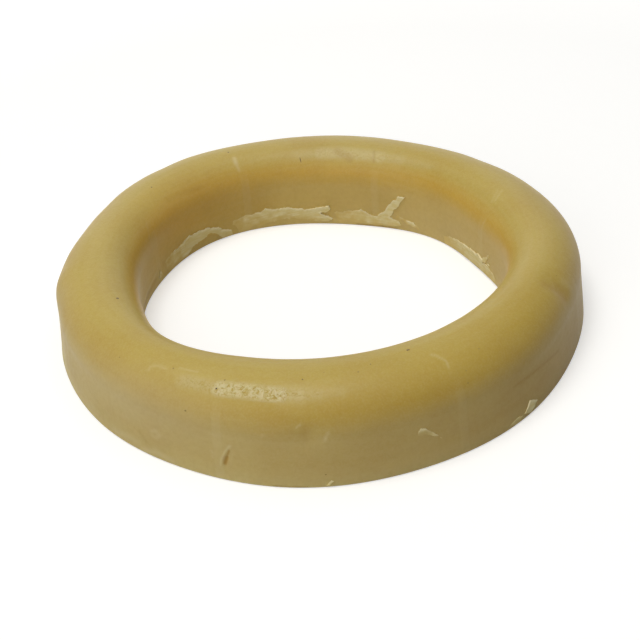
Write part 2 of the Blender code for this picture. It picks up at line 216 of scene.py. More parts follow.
# Crinkled stretches of the crown, pale where rubbed and painted with the highlight of the lamps overhead:
# (half width, crispness, bloom_and_highlight, crinkle, path)
CRINKLED = {
    OUTER: (
        (1.8, 6.0, 0.9, 1.0, ((-112.0, 22.9), (-107.0, 23.3), (-99.0, 23.0))),
        (1.6, 2.0, 0.56, 0.7, ((-99.0, 23.0), (-95.0, 23.0))),
        (1.5, 2.0, 0.3, 0.5, ((-95.0, 23.0), (-91.5, 23.0))),
        (1.3, 2.0, 0.14, 0.3, ((-91.5, 23.0), (-87.0, 22.9))),
        (1.6, 2.5, 0.38, 0.9, ((-120.5, 22.8), (-118.0, 22.9), (-113.5, 22.9))),
    ),
    BORE: (
        (1.6, 2.0, 0.22, 0.4, ((92.0, 22.7), (86.0, 22.9))),
        (1.9, 3.0, 0.46, 0.5, ((85.0, 22.9), (77.0, 23.2), (64.0, 22.8))),
        (1.7, 2.0, 0.28, 0.4, ((64.0, 22.8), (57.0, 22.6))),
        (1.4, 2.0, 0.13, 0.3, ((57.0, 22.6), (47.0, 22.2))),
    ),
}

# Wax film torn by the mould, drawn as outlines on the wall: (azimuth, arc, lift in mm). A sheet stands
# further out and is whiter the more it is lifted, and fades into the wall where it isn't.
FILM_SHEETS = {
    "film_left": (BORE, (
        (149.7, 0.5, 0.0), (142.2, 0.7, 0.1), (136.5, 0.9, 0.6), (133.9, 2.3, 1.2), (130.2, 3.0, 1.6),
        (125.5, 3.7, 1.4), (123.1, 2.3, 1.0), (121.2, 0.4, 0.5), (117.6, 0.4, 0.4), (117.8, 2.2, 0.5),
        (121.4, 3.1, 0.9), (122.5, 4.5, 1.1), (127.2, 5.7, 0.7), (131.5, 6.2, 0.6), (136.1, 6.4, 0.45),
        (138.6, 5.7, 0.38), (140.9, 5.5, 0.28), (147.3, 5.2, 0.06), (150.6, 4.5, 0.0), (152.0, 2.2, 0.0),
    )),
    "film_middle": (BORE, (
        (117.6, 0.4, 0.0), (109.6, 0.4, 0.0), (105.4, 1.5, 0.08), (101.1, 2.0, 0.12), (96.3, 2.4, 0.2),
        (93.1, 1.7, 0.15), (89.6, 1.1, 0.15), (86.3, 0.7, 0.2), (83.6, 1.0, 0.4), (82.0, 2.1, 0.6),
        (83.8, 2.9, 0.7), (86.6, 3.9, 0.7), (84.6, 4.3, 0.8), (83.1, 4.6, 0.9), (82.2, 5.7, 1.1),
        (82.8, 6.6, 1.1), (84.7, 5.9, 0.9), (87.8, 5.7, 0.7), (91.7, 5.2, 0.6), (94.6, 5.7, 0.6),
        (98.7, 6.0, 0.7), (102.4, 6.1, 0.6), (105.5, 6.7, 0.6), (107.3, 5.7, 0.4), (109.3, 5.4, 0.28),
        (112.2, 5.7, 0.18), (114.6, 5.1, 0.12), (116.7, 4.7, 0.06), (118.0, 2.4, 0.0),
    )),
    "film_spur": (BORE, (
        (82.0, 0.4, 0.0), (76.0, 0.4, 0.0), (70.8, 1.0, 0.1), (65.0, 0.9, 0.25), (59.4, 0.9, 0.3),
        (55.7, 1.8, 0.25), (57.2, 2.9, 0.4), (60.4, 3.9, 0.5), (59.8, 4.6, 0.6), (58.1, 6.8, 0.9),
        (55.8, 9.1, 1.1), (53.7, 11.9, 1.3), (56.4, 11.3, 1.2), (58.0, 10.0, 1.0), (59.8, 8.3, 0.9),
        (62.4, 5.8, 0.7), (65.3, 3.8, 0.4), (68.2, 4.0, 0.25), (69.2, 4.9, 0.35), (71.2, 5.7, 0.4),
        (72.3, 5.2, 0.25), (74.8, 4.9, 0.12), (79.7, 4.3, 0.08), (82.4, 3.6, 0.0),
    )),
    "film_curl": (BORE, (
        (57.9, 4.2, 0.1), (54.7, 3.2, 0.2), (52.0, 2.3, 0.35), (49.1, 1.2, 0.1), (49.3, 2.2, 0.15),
        (51.2, 3.5, 1.0), (52.4, 3.7, 0.9), (54.4, 4.0, 0.15), (57.4, 4.9, 0.08),
    )),
    "film_right": (BORE, (
        (40.0, 0.4, 0.0), (33.6, 0.4, 0.1), (28.5, 0.5, 0.2), (21.8, 0.6, 0.4), (17.0, 1.0, 0.5),
        (13.6, 0.5, 0.35), (9.0, 0.4, 0.25), (6.4, 0.4, 0.2), (5.4, 1.3, 0.1), (8.3, 3.4, 0.2),
        (11.4, 4.0, 0.3), (14.1, 3.6, 0.6), (13.6, 4.8, 0.7), (15.0, 4.7, 0.7), (16.6, 5.6, 0.7),
        (18.3, 4.7, 0.7), (20.2, 4.8, 0.7), (21.8, 5.2, 0.7), (23.4, 4.4, 0.6), (25.3, 4.6, 0.6),
        (28.5, 4.2, 0.4), (30.6, 4.2, 0.3), (33.6, 3.8, 0.15), (36.6, 3.0, 0.05), (39.8, 2.4, 0.0),
    )),
    "film_branch": (BORE, (
        (14.2, 4.4, 0.3), (13.4, 5.4, 0.35), (11.4, 6.6, 0.3), (9.7, 7.8, 0.2), (9.2, 7.3, 0.15),
        (10.8, 5.9, 0.25), (12.6, 4.3, 0.3),
    )),
    "film_far_left": (BORE, (
        (154.8, 0.6, 0.0), (152.4, 0.6, 0.1), (152.2, 2.6, 0.3), (153.0, 4.1, 0.3), (154.2, 3.4, 0.2),
    )),
    "film_crumb_side": (BORE, (
        (10.5, 4.3, 0.4), (9.6, 4.3, 0.4), (9.7, 4.9, 0.5), (10.4, 4.9, 0.4),
    )),
}

# Smears and flakes on the outer wall, drawn like the film
SMEARS = {
    "smear_right": (OUTER, (
        (-73.6, 9.2, 0.08), (-73.5, 10.2, 0.12), (-73.1, 10.9, 0.14), (-72.2, 10.5, 0.1), (-71.2, 9.4, 0.08),
        (-70.6, 8.5, 0.08), (-69.6, 7.6, 0.04), (-68.8, 6.2, 0.02), (-69.3, 4.8, 0.0), (-70.5, 6.0, 0.02),
        (-71.4, 7.2, 0.04), (-72.5, 8.5, 0.06),
    )),
    "flake_right": (OUTER, (
        (-47.2, 3.9, 0.45), (-45.0, 2.5, 0.45), (-45.7, 1.3, 0.45), (-47.1, 0.5, 0.4), (-49.1, 1.4, 0.35),
        (-48.1, 2.4, 0.4),
    )),
    "flake_low": (OUTER, (
        (-49.6, 1.3, 0.15), (-50.6, 1.7, 0.2), (-52.1, 1.5, 0.2), (-53.6, 0.9, 0.15), (-51.6, 0.4, 0.1),
        (-50.1, 0.6, 0.15),
    )),
    "flake_near": (OUTER, (
        (-91.4, 0.5, 0.5), (-90.9, 0.5, 0.5), (-90.1, 1.7, 0.6), (-90.5, 1.9, 0.6),
    )),
}

# Grit in the wax: (side, azimuth, arc, length, width, turn from the ring's direction in degrees, share of
# its colour that the wax over it hides)
GRIT = (
    (BORE, 140.4, 26.6, 0.55, 0.5, 0.0, 0.25),
    (BORE, 112.5, 27.7, 0.55, 0.5, 20.0, 0.0),
    (BORE, 91.6, 20.9, 2.1, 0.34, 84.0, 0.2),
    (BORE, -157.8, 25.5, 0.85, 1.05, 70.0, 0.25),
    (OUTER, -138.0, 22.1, 0.42, 0.38, 0.0, 0.6),
    (OUTER, -123.8, 25.1, 0.4, 0.34, 0.0, 0.4),
    (OUTER, -118.2, 16.3, 0.52, 0.44, 10.0, 0.4),
    (OUTER, -112.5, 22.8, 0.52, 0.44, 80.0, 0.0),
    (OUTER, -111.3, 25.1, 0.46, 0.36, 60.0, 0.5),
    (OUTER, -94.7, 26.6, 0.42, 0.36, 0.0, 0.2),
    (OUTER, -90.1, 28.2, 0.34, 0.3, 0.0, 0.7),
    (OUTER, -82.8, 27.1, 0.42, 0.36, 30.0, 0.5),
    (OUTER, -79.7, 28.6, 0.46, 0.38, 60.0, 0.5),
    (BORE, -70.1, 28.0, 0.9, 0.65, 10.0, 0.0),
    (OUTER, -62.1, 17.6, 0.36, 0.3, 0.0, 0.5),
    (OUTER, -61.5, 20.2, 0.3, 0.26, 0.0, 0.6),
    (OUTER, -56.3, 23.4, 0.36, 0.3, 0.0, 0.6),
    (OUTER, -23.2, 23.0, 0.34, 0.3, 0.0, 0.5),
    (OUTER, -37.4, 27.1, 0.4, 0.34, 0.0, 0.7),
    (OUTER, -91.4, 3.4, 0.38, 0.32, 0.0, 0.5),
)
GRIT_DEPTH = 0.14  # how thick a grain is
GRIT_PROUD = 0.04  # how far it stands out of the wax
GRIT_KNOBS = (0.35, 2.5)  # how far a grain's knobs stand out, and how many there are across it
GRIT_CUTS = 2  # fineness of the ball that a grain is made from

# Points round the section, from which the body is spun
EDGE_POINTS = 3
OUTER_POINTS = 64
BORE_POINTS = 58
BASE_POINTS = 8
SPIN_STEPS = 144
SPIN_CUTS = 4  # cuts in each step's edges once the ring is spun
START_SIZE = 0.01  # of a new circle, before its corners are moved to their places
SAME_PLACE = 0.000001  # how near two corners lie that are one, in m
CURVE_POINTS = 240  # points that a side's wall is worked out at, and again its half of the crown
FINE_STATIONS = 7201  # azimuths at which the gathering of the stations is worked out
CORNERS_AT_ONCE = 20000  # corners that look for their place in the section in one go

# Where the stations gather, so that fine marks get finer facets: (azimuth, half width, extra density)
GATHERED = tuple((azimuth, 1.6, 1.5) for azimuth, _ in WITNESS_MARKS) + (
    (-110.0, 1.6, 4.0),
    (-94.6, 3.0, 0.8),
    (-25.0, 3.0, 0.8),
    (66.6, 1.4, 1.5),
)

STREAK_RADIUS = 60.0  # radius at which a streak has its length, in mm
STREAK_LEAN = 0.9  # how much a streak's place counts radius against height

# Slow swell of hand-soft wax, and the ripple that gives its gloss uneven edges: (size in m, reach in mm)
SWELL = ((0.021, 0.10), (0.0072, 0.035))

# Shape of the film and the smears, in mm unless said
FILM_CELL = 0.32  # side of the cells that a sheet is cut into
FILM_FRONT = 0.10  # how far a lifted sheet's face stands out of the wall before its own lift is added
SMEAR_FRONT = 0.06
SUNK = -0.04  # where its face lies when it isn't lifted at all
FULLY_OUT = 0.30  # lift at which it has its whole front
HANG = 0.24  # share of its lift by which a sheet really hangs clear
HANG_WAVE = (2.6, 0.25)  # size of the waves in how far it hangs, and their share of it
LIFT_BLEND = (0.15, 2.5)  # how near an outline point rules the lift alone, and how fast its say falls away
OUTLINE_STEP = 0.22  # between the points of a torn outline
FILM_TEAR = 0.45  # how far an outline is torn to and fro
SMEAR_TEAR = 0.25
FRAY = ((1.3, 1.0), (0.45, 0.5))  # how an edge is torn: (size in mm, share of the tear)
ELSEWHERE = Vector((9.2, 3.1, 5.7))  # where the noise is read again, to tear an edge the other way too
FREE_OF_BASE = (0.8, 1.2)  # arc from which a sheet is torn and crumbled, and over how much that comes on
SMEAR_SEED = 20  # first seed of the smears, past those of the film
CREASE_ANGLE = 50.0  # degrees from which an edge of a sheet stays sharp

# Crumbled edge and whitening of a sheet, in mm or as a share
CRUMBLE_WIDTH = 0.45  # how far the crumbled edge reaches into a sheet
CRUMBLE_RISE = 0.14  # how far the crumbs stand out
CRUMBLE_SIZE = 0.9  # of a crumb
CRUMBLE_SHARE = (0.80, 0.9)  # how crumbled an edge is on average, and how much that varies
CRUMBLE_WHITE = 1.4  # how fast the crumbling comes on as a sheet grows whiter
CRUMBLE_LEVEL = 0.45  # how much an upright edge crumbles and takes the painted highlight, against 1 for an upper edge, which catches the light from above
LOWER_FADE_WIDTH = 1.0  # how far above its lower edge a sheet fades into the wall
LOWER_FADE = 0.75  # how much of its whiteness goes there
HANGS_CLEAR = 0.9  # lift from which a lower edge doesn't fade
FILM_WHITE = (0.04, 1.30)  # how white a sheet is when flat, and what each mm of lift adds
SMEAR_WHITE = (0.10, 1.6)

# Surfaces: sizes of their patterns in mm, and roughness
CLOUD_SIZE = 17.0
MOTTLE_SIZE = 1.2
GRAIN_SIZE = 0.45
FLECK_SIZE = 0.85
STREAK_SIZE = (30.0, 1.4)  # length round the ring and height
PULL_SIZE = (5.0, 0.7)  # the same for the streaks of a sheet that was pulled off the mould
BLOTCH_SIZE = 2.2
SHEET_GRAIN_SIZE = 0.6
GRIT_SPECK_SIZE = 0.3
PAPER_FIBRE_SIZE = 2.0
UNSTRETCHED = 1000.0  # noise size that takes places as they come, because they are already stretched
WAX_IOR = 1.44
WAX_ROUGHNESS = (0.15, 0.33)  # what the mottle adds, and the least
FILM_ROUGHNESS = 0.50
SMEAR_ROUGHNESS = 0.55
FLECK_EDGES = (6.5, -2.6)  # gain and offset that turn the fleck noise into the patches of painted highlight and rubbed whitening on the crinkled crown
FLECK_GAPS = (-5.0, 2.2)  # the same for the painted shade in the gaps between them
GAP_AMBER = 0.30  # how dark the painted shade in the gaps is
PLAIN_RELIEF = 0.04  # share of the crinkled wax's relief that plain wax has
SPECK_AMBER = 0.4  # how far a grain's specks go from its own colour to amber
SHEET_COVER = (1.15, -0.80)  # how a sheet's whiteness covers the wall's colour: gain and offset
BLOTCH_COVER = 1.9  # what its blotches add
COVER_START = 4.0  # how fast a flat sheet starts to cover
PULL_EDGES = (2.2, -0.92)  # gain and offset that turn the pulled noise into pale streaks


def linear(hex_colour):
    """An sRGB hex colour as linear red, green, blue and alpha."""
    channels = [int(hex_colour[place:place + 2], 16) / 255.0 for place in (1, 3, 5)]
    toe = 0.04045
    return tuple(c / 12.92 if c <= toe else ((c + 0.055) / 1.055) ** 2.4 for c in channels) + (1.0,)


def length_of(name, description, millimetres):
    return FloatProperty(
        name=name, description=description, default=millimetres * MM, unit="LENGTH", precision=5,
    )


def colour_of(name, description, hex_colour):
    return FloatVectorProperty(
        name=name, description=description, default=linear(hex_colour), size=4, min=0.0, max=1.0,
        subtype="COLOR",
    )


def power_of(name, description, watts):
    return FloatProperty(name=name, description=description, default=watts, min=0.0, unit="POWER")


class WaxRingSizes(PropertyGroup):
    outer_radius: length_of("Outer radius", "Outer wall, where it meets the crown", 68.5)
    outer_flare: length_of("Outer flare", "How much further out the outer wall stands at the base", 1.2)
    outer_wall_height: length_of("Outer wall height", "Where the crown starts on the outer side", 12.5)
    bore_radius: length_of("Bore radius", "Bore wall, where it meets the crown", 47.75)
    bore_flare: length_of("Bore flare", "How much wider the bore is at the base", 0.65)
    bore_wall_height: length_of("Bore wall height", "Where the crown starts on the bore side", 13.8)
    ring_height: length_of("Ring height", "Height of the crest", 23.0)
    base_edge_radius: length_of("Base edge radius", "Rounding of the two edges of the base", 0.25)
    crest_bias: FloatProperty(
        name="Crest bias", description="Where the crest lies, from the bore wall to the outer wall",
        default=0.436, min=0.0, max=1.0, subtype="FACTOR",
    )
    witness_width: length_of("Witness width", "Width of the raised bands left by the mould", 1.7)
    witness_rise: length_of("Witness rise", "How far a band stands out", 0.07)
    film_thickness: length_of("Film thickness", "Thickness of the torn film in the bore", 0.34)
    smear_thickness: length_of("Smear thickness", "Thickness of the smears and flakes outside", 0.16)


class WaxRingColours(PropertyGroup):
    crown: colour_of("Crown", "Petroleum wax of the crown", "#b8a04c")
    # Darker and yellower than the crown: painted shade below the outer crown
    outer_shoulder: colour_of("Outer shoulder", "The same, yellower wax below the crown", "#b39641")
    # Paler and greyer than the crown: the floor's reflection and bounce light, painted on the outer wall
    outer_wall: colour_of("Outer wall", "The same wax where handling has dulled it", "#c2ab6b")
    # Palest of the outer side: the floor's reflection, painted along the base
    outer_foot: colour_of("Outer foot", "The palest wax, along the base", "#c9b77b")
    # Brighter and more orange than the crown: painted warm bounce light where the bore turns into the crown
    bore_shoulder: colour_of("Bore shoulder", "The same wax where the bore turns into the crown", "#c7a244")
    # Brighter than the outer wall: painted bounce light on the bore wall
    bore_wall: colour_of("Bore wall", "The same wax on the bore wall", "#d0b468")
    # Palest of all: the floor's reflection and bounce light, painted along the bore's base
    bore_foot: colour_of("Bore foot", "The palest wax of the bore, along the base", "#dac17a")
    # Painted shade on the right of the outer wall, which the lamps light least
    browned: colour_of("Browned", "Outer wall browned by handling", "#b9985f")
    # A painted pale sheen of the white surroundings: left wall, low in the bore, far crown
    dulled: colour_of("Dulled", "Paler, duller wax: left wall, low in the bore, far crown", "#cebb88")
    # Painted shade on the right of the crown, deeper and yellower
    golden: colour_of("Golden", "Crown where it is yellowest", "#b5962c")
    # Painted warm bounce light on the left of the bore
    warm: colour_of("Warm", "Warmer wax on the left of the bore", "#dbb152")
    # Also the colour of the painted highlight on the crinkled crown, and of painted light at some marks
    bloom_and_highlight: colour_of("Bloom", "Wax whitened by rubbing", "#d6c897")
    # Also the colour of painted shade: between the crinkles, in a dent, a dimple and a crease, beside a
    # seam, and along the base
    amber: colour_of("Amber", "Fresh wax inside a cut", "#9a6f1c")
    # Whitened by bending, and paler for the light from above that shines through the thin film, painted
    film: colour_of("Film", "Torn film, whitened by bending", "#e0cf90")
    # Paler crumbled edge, also the painted highlight along upper edges
    film_edge: colour_of("Film edge", "Crumbled edge of the film", "#efe5bb")
    smear: colour_of("Smear", "Smears and flakes on the outside", "#e6d696")
    grit: colour_of("Grit", "Grains caught in the wax", "#2b1d12")
    floor: colour_of("Floor", "Studio floor", "#dad9d5")


class WaxRingStudio(PropertyGroup):
    camera_elevation: FloatProperty(
        name="Camera elevation", description="Angle of the camera above the floor",
        default=math.radians(34.044), subtype="ANGLE",
    )
    camera_roll: FloatProperty(
        name="Camera roll", description="Turn of the camera about its own axis",
        default=math.radians(-5.148), subtype="ANGLE",
    )
    camera_distance: length_of("Camera distance", "From the origin to the camera", 352.15)
    camera_right: length_of("Camera right", "How far the camera is moved to its right", 0.300)
    camera_up: length_of("Camera up", "How far the camera is moved up its picture", -2.243)
    camera_lens: FloatProperty(name="Lens", description="Focal length in mm", default=73.734, min=1.0)
    key_power: power_of("Key power", "Soft box overhead, a little to the left", 5.3)
    ceiling_power: power_of("Ceiling power", "Wide panel straight overhead", 7.25)
    near_power: power_of("Near power", "Low panel on the near side, towards the left", 4.4)
    far_power: power_of("Far power", "Panel behind the ring", 1.2)


CAMERA_SENSOR = 36.0  # width in mm

# Lamps: (direction from the ring, distance in m, side of the square in m)
KEY_PLACE = ((-0.17, -0.05, 0.98), 1.2, 0.50)
CEILING_PLACE = ((0.0, 0.0, 1.0), 1.2, 1.6)
NEAR_PLACE = ((-0.56, -0.69, 0.46), 1.1, 0.9)
FAR_PLACE = ((0.0, 0.87, 0.50), 1.1, 0.9)
FLOOR_SIDE = 8.0  # in m
FLOOR_GAP = 0.0001  # how far the floor lies below the base, so that the two faces don't meet, in m
FLOOR_GLOW = 0.44  # what the floor adds in the picture alone, so that it shows as white paper
FAR_GLOW = 1.0  # the same far from the ring, where little of the lamps' light reaches
GLOW_REACH = (0.2, 0.9)  # distances from the origin between which it changes, in m


# Shape of the ring


def ramp(values, start, over):
    """0 up to a start and 1 from a given distance past it, with a straight climb between."""
    return np.clip((values - start) / over, 0.0, 1.0)


def crest_radius(sizes):
    return sizes.bore_radius + sizes.crest_bias * (sizes.outer_radius - sizes.bore_radius)


def side_curve(sizes, side):
    """One side of the section from base to crest: arc, radius, height and the outward normal's two parts."""
    if side == OUTER:
        top, flare, wall, out = sizes.outer_radius, sizes.outer_flare, sizes.outer_wall_height, 1.0
    else:
        top, flare, wall, out = sizes.bore_radius, sizes.bore_flare, sizes.bore_wall_height, -1.0
    crest = crest_radius(sizes)
    share = np.linspace(0.0, 1.0, CURVE_POINTS)
    turn = share[1:] * math.pi / 2.0
    radius = np.concatenate([top + flare * (1.0 - share), crest + (top - crest) * np.cos(turn)])
    height = np.concatenate([wall * share, wall + (sizes.ring_height - wall) * np.sin(turn)])
    arc = np.concatenate([[0.0], np.cumsum(np.hypot(np.diff(radius), np.diff(height)))])
    lean = out * np.gradient(height, arc)
    lift = -out * np.gradient(radius, arc)
    return arc, radius, height, lean, lift


def lobe_shift(lobes, azimuth):
    return sum(reach * MM * np.cos(count * (azimuth - math.radians(high))) for count, reach, high in lobes)


def out_of_round(sizes, radius, azimuth):
    """Radius once the ring has gone out of round, between the bore's own lobes and the outer wall's."""
    foot = sizes.outer_radius + sizes.outer_flare
    share = (radius - sizes.bore_radius) / (foot - sizes.bore_radius)
    outer, bore = (lobe_shift(lobes, azimuth) for lobes in (OUTER_LOBES, BORE_LOBES))
    return radius + share * outer + (1.0 - share) * bore


def degrees_between(first, second):
    return (first - second + 180.0) % 360.0 - 180.0


def distance_to_path(degrees, arc, radius, path):
    """Distance in mm over the unrolled surface from each spot to a path of (azimuth, arc) points."""
    nearest = np.full(degrees.shape, np.inf)
    for (first_azimuth, first_arc), (last_azimuth, last_arc) in zip(path, path[1:]):
        scale = np.radians(1.0) * radius / MM
        across = degrees_between(degrees, first_azimuth) * scale
        up = arc / MM - first_arc
        run = degrees_between(last_azimuth, first_azimuth) * scale
        climb = last_arc - first_arc
        share = np.clip((across * run + up * climb) / (run * run + climb * climb), 0.0, 1.0)
        nearest = np.minimum(nearest, np.hypot(across - share * run, up - share * climb))
    return nearest


def mark_strength(degrees, arc, radius, half_width, crispness, path):
    """How strongly a mark shows: 1 on its path, and the more sharply less beside it the crisper it is."""
    return np.exp(-(distance_to_path(degrees, arc, radius, path) / half_width) ** crispness)


def witness_mask(sizes, degrees, radius, height):
    """How strongly the mould's bands show: 1 on a band of a wall, and little of it on the crown."""
    shown = np.zeros(degrees.shape)
    for azimuth, strength in WITNESS_MARKS:
        off = np.abs(degrees_between(degrees, azimuth)) * math.radians(1.0) * radius / MM
        fall = 1.0 - ramp(off, sizes.witness_width / 2.0 / MM, WITNESS_FLANK)
        shown = np.maximum(shown, strength * fall * fall * (3.0 - 2.0 * fall))
    return shown * (1.0 - (1.0 - WITNESS_ON_CROWN) * ramp(height / MM, *WITNESS_FADE))


def swell(points):
    """Slow unevenness of the surface, from noise at the given places."""
    rise = np.zeros(len(points))
    for size, reach in SWELL:
        scale = 1.0 / size
        rise += [noise.noise(Vector(point) * scale) * reach * MM for point in points]
    return rise


def surface_rise(sizes, side, degrees, arc, radius, height):
    """How far the marks and the swell bring the surface out of the plain section."""
    rise = np.zeros(degrees.shape)
    if side == OUTER:
        for azimuth, half_width, mark_height, half_height, reach in HANDLING_MARKS:
            across = degrees_between(degrees, azimuth) / half_width
            up = (height / MM - mark_height) / half_height
            rise += reach * MM * np.exp(-across * across - up * up)
        rise *= ramp(sizes.ring_height - height, 0.0, HANDLING_FADE * MM)
    rise += witness_mask(sizes, degrees, radius, height) * sizes.witness_rise
    for half_width, crispness, reach, _, _, path in MARKS[side]:
        rise += reach * MM * mark_strength(degrees, arc, radius, half_width, crispness, path)
    turn = np.radians(degrees)
    rise += swell(np.stack([radius * np.cos(turn), radius * np.sin(turn), height], axis=-1))
    return rise


def on_ring(sizes, side, degrees, arc, out=0.0):
    """Places of spots on one side of the ring, a further distance out of the wax."""
    curve_arc, *curves = side_curve(sizes, side)
    radius, height, lean, lift = (np.interp(arc, curve_arc, curve) for curve in curves)
    rise = surface_rise(sizes, side, degrees, arc, radius, height) * ramp(arc / MM, 0.0, CALM_FOOT) + out
    turn = np.radians(degrees)
    reach = out_of_round(sizes, radius + rise * lean, turn)
    level = height + rise * np.maximum(lift, 0.0)
    return np.stack([reach * np.cos(turn), reach * np.sin(turn), level], axis=-1)


def gathered(degrees):
    """Azimuths of evenly spun stations after they have gathered at the fine marks."""
    fine = np.linspace(-180.0, 180.0, FINE_STATIONS)
    density = np.ones(fine.shape)
    for azimuth, half_width, extra in GATHERED:
        density += extra * np.exp(-(degrees_between(fine, azimuth) / half_width) ** 2)
    total = np.concatenate([[0.0], np.cumsum((density[1:] + density[:-1]) / 2.0)])
    return np.interp(degrees, total / total[-1] * 360.0 - 180.0, fine)


# Blender steps that the pieces share


def start_piece():
    """Leaves nothing selected, so that the next operator acts on its own piece alone."""
    if bpy.context.object and bpy.context.object.mode != "OBJECT":
        bpy.ops.object.mode_set(mode="OBJECT")
    bpy.ops.object.select_all(action="DESELECT")


def coordinates(mesh):
    flat = np.empty(len(mesh.vertices) * 3)
    mesh.vertices.foreach_get("co", flat)
    return flat.reshape(-1, 3)


def move_vertices(mesh, places):
    """Moves every corner of a mesh to its place."""
    mesh.vertices.foreach_set("co", np.ascontiguousarray(places, dtype=np.float64).ravel())
    mesh.update()


def paint(mesh, name, values):
    """Keeps a value for each corner, which the materials read by its name."""
    layer = mesh.attributes.new(name, "FLOAT", "POINT")
    layer.data.foreach_set("value", np.ascontiguousarray(values, dtype=np.float32))


def edit_all():
    """Opens the piece for editing with everything in it selected."""
    bpy.ops.object.mode_set(mode="EDIT")
    bpy.ops.mesh.select_all(action="SELECT")


def close_and_turn_outwards():
    edit_all()
    bpy.ops.mesh.remove_doubles(threshold=SAME_PLACE)
    bpy.ops.mesh.normals_make_consistent(inside=False)
    bpy.ops.object.mode_set(mode="OBJECT")


def finish_piece(piece, material, *nodes):
    """Gives a piece its material, and ties it to the part and to the nodes that it stands for."""
    piece.data.materials.clear()
    piece.data.materials.append(material)
    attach(piece, "root")
    if nodes:
        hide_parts(*nodes)


def drawn(points, fill):
    """A circle that is pulled to an outline, so that its corners lie at the given places."""
    bpy.ops.mesh.primitive_circle_add(
        vertices=len(points), radius=START_SIZE, fill_type=fill, location=(0.0, 0.0, 0.0),
    )
    move_vertices(bpy.context.object.data, np.array(points))
    return bpy.context.object


def cut_into_cells(piece, cell):
    """Cuts a flat face into cells small enough to follow the ring."""
    low, high = coordinates(piece.data).min(axis=0), coordinates(piece.data).max(axis=0)
    edit_all()
    bpy.ops.mesh.quads_convert_to_tris(quad_method="BEAUTY", ngon_method="BEAUTY")
    for axis, normal in ((0, (1.0, 0.0, 0.0)), (1, (0.0, 1.0, 0.0))):
        count = int((high[axis] - low[axis]) / cell)
        for step in range(1, count + 1):
            place = [0.0, 0.0, 0.0]
            place[axis] = low[axis] + (high[axis] - low[axis]) * step / (count + 1)
            bpy.ops.mesh.select_all(action="SELECT")
            bpy.ops.mesh.bisect(plane_co=place, plane_no=normal)
    bpy.ops.object.mode_set(mode="OBJECT")


def ragged(points, step, tear, seed):
    """An outline resampled at a fine step and torn a little, but not where it meets the base."""
    closed = list(points) + [points[0]]
    fine = []
    for (x0, y0, _), (x1, y1, _) in zip(closed, closed[1:]):
        pieces = max(1, round(math.hypot(x1 - x0, y1 - y0) / step))
        for share in (place / pieces for place in range(pieces)):
            x, y = x0 + (x1 - x0) * share, y0 + (y1 - y0) * share
            free = tear * free_of_base(y)
            for size, part in FRAY:
                spot = Vector((x, y, seed * MM)) / (size * MM)
                x += part * free * noise.noise(spot)
                y += part * free * noise.noise(spot + ELSEWHERE)
            fine.append((x, y))
    return fine


def free_of_base(arc):
    """0 at the ring's base edge and 1 from a couple of millimetres above it."""
    return ramp(arc / MM, *FREE_OF_BASE)


def noise_along(spots, size, seed):
    """Noise at flat spots, with features of a size in mm."""
    return np.array([noise.noise(Vector((x, y, seed * MM)) / (size * MM)) for x, y, _ in spots])


def away_from(spots, points):
    """Distances in mm from each flat spot to each of some points."""
    return np.linalg.norm(spots[:, None, :] - np.array(points)[None], axis=-1) / MM


def facing_up(points):
    """How far each point of a closed outline faces up the wall: 1 on an upper edge and -1 on a lower one."""
    across, up = np.array(points).T
    run = np.roll(across, -1) - np.roll(across, 1)
    climb = np.roll(up, -1) - np.roll(up, 1)
    winding = np.sign((across * np.roll(up, -1) - np.roll(across, -1) * up).sum())
    return -winding * run / np.hypot(run, climb)


def lift_at(spots, outline):
    """Lift of the film at flat spots, from the lifts given along its outline."""
    near, falloff = LIFT_BLEND
    lifts = np.array([lift for _, _, lift in outline])
    weight = 1.0 / (away_from(spots, [(x, y) for x, y, _ in outline]) + near) ** falloff
    return (weight * lifts).sum(axis=1) / weight.sum(axis=1)


